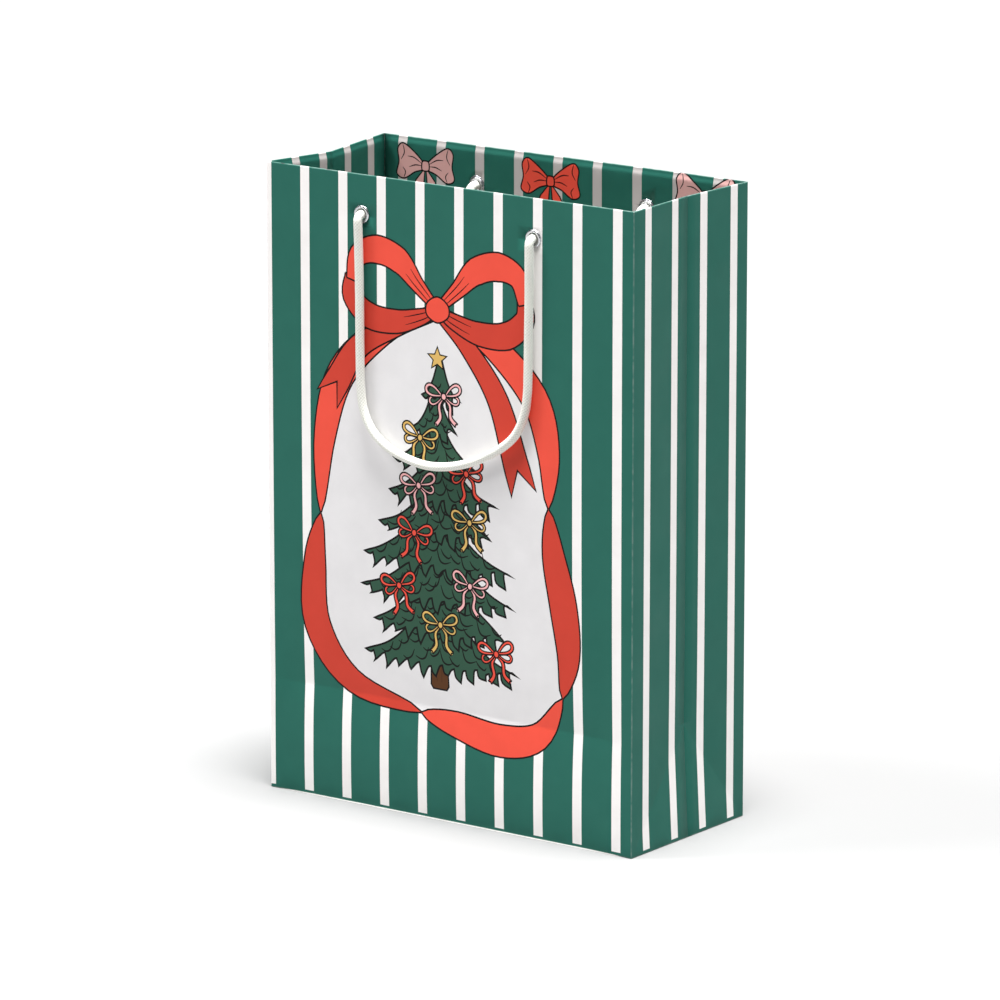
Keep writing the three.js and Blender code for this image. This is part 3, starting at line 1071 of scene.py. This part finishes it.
def make_eyelet(face, side):
    """A rolled eyelet through the panel, with its washer inside; profiles are (radius, out of the wall)."""
    outer_roll = arc(3.85, 0.10, 0.85, 0.85, math.pi, 0, 9)
    inner_roll = arc(3.72, -2.25, 0.42, 0.35, 0, -math.pi, 7)
    barrel = [(4.62, -0.02), (3.3, -0.02), (3.3, -1.9)]
    lip = [(EYELET_BORE, -2.3), (EYELET_BORE, -1.2)]
    eyelet = [(EYELET_BORE, -0.45), *outer_roll, *barrel, *inner_roll, *lip]
    washer = [(3.5, -1.92), (4.3, -1.98), (4.85, -1.86), (4.9, -1.72), (4.8, -1.62), (3.45, -1.62)]
    lathe(f"{face}_eyelet_{side}_metal", eyelet, face, side, f"{face}_eyelet_{side}")
    lathe(f"{face}_washer_{side}_metal", washer, face, side, f"{face}_eyelet_washer_{side}")


def lathe(name, profile, face, side, node):
    """A closed profile turned about the eyelet's axis."""
    segments = 72
    turns = np.arange(segments) * 2 * math.pi / segments
    x = SIDES[side] * EYELET_X
    verts = []
    for radius, out in profile:
        y = FACES[face] * (DEPTH / 2 + out) * MM
        for turn in turns:
            verts.append(((x + radius * math.cos(turn)) * MM, y, (EYELET_Z + radius * math.sin(turn)) * MM))
    rows = len(profile)
    piece = closed_mesh(name, verts, faces_between(rows, rows, segments), METAL)
    install(piece, BODY_OF_FACE[face], node)


def faces_between(spans, rows, sides):
    """Four-sided faces over the spans between rings; a span past the last ring leads back to the first."""
    faces = []
    for i in range(spans):
        this = i * sides
        after = (i + 1) % rows * sides
        for k in range(sides):
            n = (k + 1) % sides
            faces.append((this + k, this + n, after + n, after + k))
    return faces


def closed_mesh(name, verts, faces, material):
    """A smooth closed mesh with its faces turned outwards."""
    mesh = bpy.data.meshes.new(name)
    mesh.from_pydata([tuple(v) for v in verts], [], faces)
    mesh.materials.append(material)
    if signed_volume(mesh) < 0:
        mesh.flip_normals()
    mesh.polygons.foreach_set("use_smooth", [True] * len(mesh.polygons))
    mesh.update()
    return add_object(name, mesh)


def signed_volume(mesh):
    """Six times the volume, below zero where the faces are turned inwards."""
    total = 0.0
    for p in mesh.polygons:
        corners = [mesh.vertices[i].co for i in p.vertices]
        for i in range(1, len(corners) - 1):
            total += corners[0].dot(corners[i].cross(corners[i + 1]))
    return total


# -------- rope

ROPE_SIDES = 48
HIDDEN_SIDES = 36


def lengths_along(points):
    """How far along a path each of its points is."""
    steps = np.linalg.norm(np.diff(points, axis=0), axis=1)
    return np.concatenate([[0], np.cumsum(steps)])


def resample(points):
    """The route at even steps."""
    points = np.asarray(points, float)
    along = lengths_along(points)
    count = max(4, int(round(along[-1] / ROPE_STEP)))
    at = np.linspace(0, along[-1], count + 1)
    return np.column_stack([np.interp(at, along, points[:, k]) for k in range(3)])


def braided(points, sides):
    """A rope with crossing strands along a path: vertices, faces and how deep each vertex lies."""
    tangent = np.gradient(points, axis=0)
    tangent /= np.linalg.norm(tangent, axis=1)[:, None]
    normal = np.zeros_like(points)
    first = np.cross(tangent[0], (0.31, 0.22, 0.93))
    normal[0] = first / np.linalg.norm(first)
    for i in range(1, len(points)):
        carried = normal[i - 1] - tangent[i] * normal[i - 1].dot(tangent[i])
        normal[i] = carried / np.linalg.norm(carried)
    binormal = np.cross(tangent, normal)
    along = lengths_along(points)
    around = np.arange(sides) * 2 * math.pi / sides
    phase = STRANDS * around[None, :] / (2 * math.pi)
    twist = STRANDS * along[:, None] / LAY
    one = phase + twist
    two = phase - twist
    first_over = (np.floor(one) + np.floor(two)) % 2 == 0
    u = one - np.floor(one)
    w = two - np.floor(two)
    across = np.where(first_over, np.sin(math.pi * u), np.sin(math.pi * w))
    lengthways = np.where(first_over, np.sin(math.pi * w), np.sin(math.pi * u))
    relief = np.abs(across) ** 0.6 * (0.35 + 0.65 * np.abs(lengthways) ** 0.8)
    rounded_ends = np.minimum(1.0, np.minimum(along, along[-1] - along)[:, None] / ROUNDED_END)
    reach = ROPE_RADIUS * (0.90 + 0.12 * relief) * np.sqrt(np.clip(rounded_ends, 0.02, 1))
    ring = normal[:, None, :] * np.cos(around)[None, :, None]
    ring = ring + binormal[:, None, :] * np.sin(around)[None, :, None]
    verts = points[:, None, :] + ring * reach[:, :, None]
    rows = len(points)
    faces = faces_between(rows - 1, rows, sides)
    faces.append(tuple(range(sides))[::-1])
    faces.append(tuple((rows - 1) * sides + k for k in range(sides)))
    return verts.reshape(-1, 3) * MM, faces, (1 - relief).reshape(-1)


def rope_piece(name, points, node, sides):
    verts, faces, hollow_shade = braided(points, sides)
    piece = closed_mesh(name, verts, faces, ROPE)
    # how deep each vertex lies, which the rope's material turns into painted shade in the hollows
    layer = piece.data.attributes.new("hollow_shade", "FLOAT", "POINT")
    layer.data.foreach_set("value", np.clip(hollow_shade, 0, 1).astype(np.float32))
    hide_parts(node)
    return piece


def beside_wall(face, route):
    """A route of (x, distance out of the wall, drop below the eyelets), as points of the part."""
    sign = FACES[face]
    return resample([(x, sign * (DEPTH / 2 + out), EYELET_Z - drop) for x, out, drop in route])


def loop_path(face):
    """Out of the right eyelet, round the hanging loop and into the left one."""
    bend = STANDOFF - STRAIGHT_OUTSIDE
    edge = HANDLE_ROUTE[0][0]
    turn = np.linspace(0, math.pi / 2, 9)[:-1]

    def mouth(x):
        down = [(x, STRAIGHT_OUTSIDE + bend * math.sin(t), bend * (1 - math.cos(t))) for t in turn]
        return [(x, LOOP_BEGINS, 0), *down]

    hanging = [(x, out, drop) for x, drop, out in HANDLE_ROUTE]
    loop = smooth([(edge, STANDOFF, bend), *hanging, (-edge, STANDOFF, bend)], steps=8).tolist()
    return beside_wall(face, mouth(edge) + loop + mouth(-edge)[::-1])


def tail_path(face, side):
    """From the stopper knot up the inside of the wall and over into the eyelet."""
    x = SIDES[side] * HANDLE_ROUTE[0][0]
    bend = TAIL_DEPTH - STRAIGHT_INSIDE
    rise = [(x, -TAIL_DEPTH, drop) for drop in np.linspace(KNOT_DROP, bend, 8)]
    over = [(x, -TAIL_DEPTH + bend * (1 - math.cos(t)), bend * (1 - math.sin(t)))
            for t in np.linspace(0, math.pi / 2, 9)[1:]]
    return beside_wall(face, [*rise, *over, (x, TAIL_ENDS, 0)])


def make_knot(face, side):
    """A stopper knot: the rope wound over itself, with a short tip hanging out of it."""
    x = SIDES[side] * EYELET_X
    y = FACES[face] * (DEPTH / 2 - TAIL_DEPTH)
    z = EYELET_Z - KNOT_DROP
    turns = []
    for t in np.linspace(0.5, 2 * math.pi - 0.1, 90):
        swell = 2.35 + 1.15 * math.cos(3 * t)
        across = 1.15 * swell * math.cos(2 * t)
        turns.append((x + across, y + 0.86 * swell * math.sin(2 * t), z + 3.0 * math.sin(3 * t)))
    tip = [(x, y, z - 3 - k) for k in range(15)]
    rope = f"{face}_rope_{side}"
    return [
        rope_piece(f"{rope}_stopper", resample(turns), f"{rope}_knot", HIDDEN_SIDES),
        rope_piece(f"{rope}_end", resample(tip), f"{rope}_tip", HIDDEN_SIDES),
    ]


def make_handle(face):
    """The hanging loop, which bends at its eyelets, and the tails, knots and tips inside the bag."""
    points = loop_path(face)
    body = BODY_OF_FACE[face]
    rope = rope_piece(f"{face}_rope", points, f"{face}_handle_rope", ROPE_SIDES)
    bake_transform(rope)
    ends = []
    for side in SIDES:
        ends.append(rope_piece(f"{face}_rope_{side}_inside", tail_path(face, side),
                               f"{face}_rope_{side}_tail", ROPE_SIDES))
        ends += make_knot(face, side)
    for piece in ends:
        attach(piece, body)


# -------- build

make_camera()
INKS = {name: ink(f"{name} ink", colour) for name, colour in INK_COLOURS.items()}
RAW = raw_paper("unprinted paper", (232, 230, 226), (205, 200, 192))
BOARD = raw_paper("grey board", (176, 168, 156), (120, 112, 102))
CARD = raw_paper("white board", (236, 234, 228), (206, 202, 194))
INKS.update({"board": BOARD, "card": CARD, "seam": RAW})
METAL = nickel()
ROPE = rope_fibre()
for face in FACES:
    make_handle(face)
make_studio()
for face in FACES:
    make_panel(face)
    for side in SIDES:
        make_gusset(side, face)
        make_eyelet(face, side)
make_base()
make_side_seam()
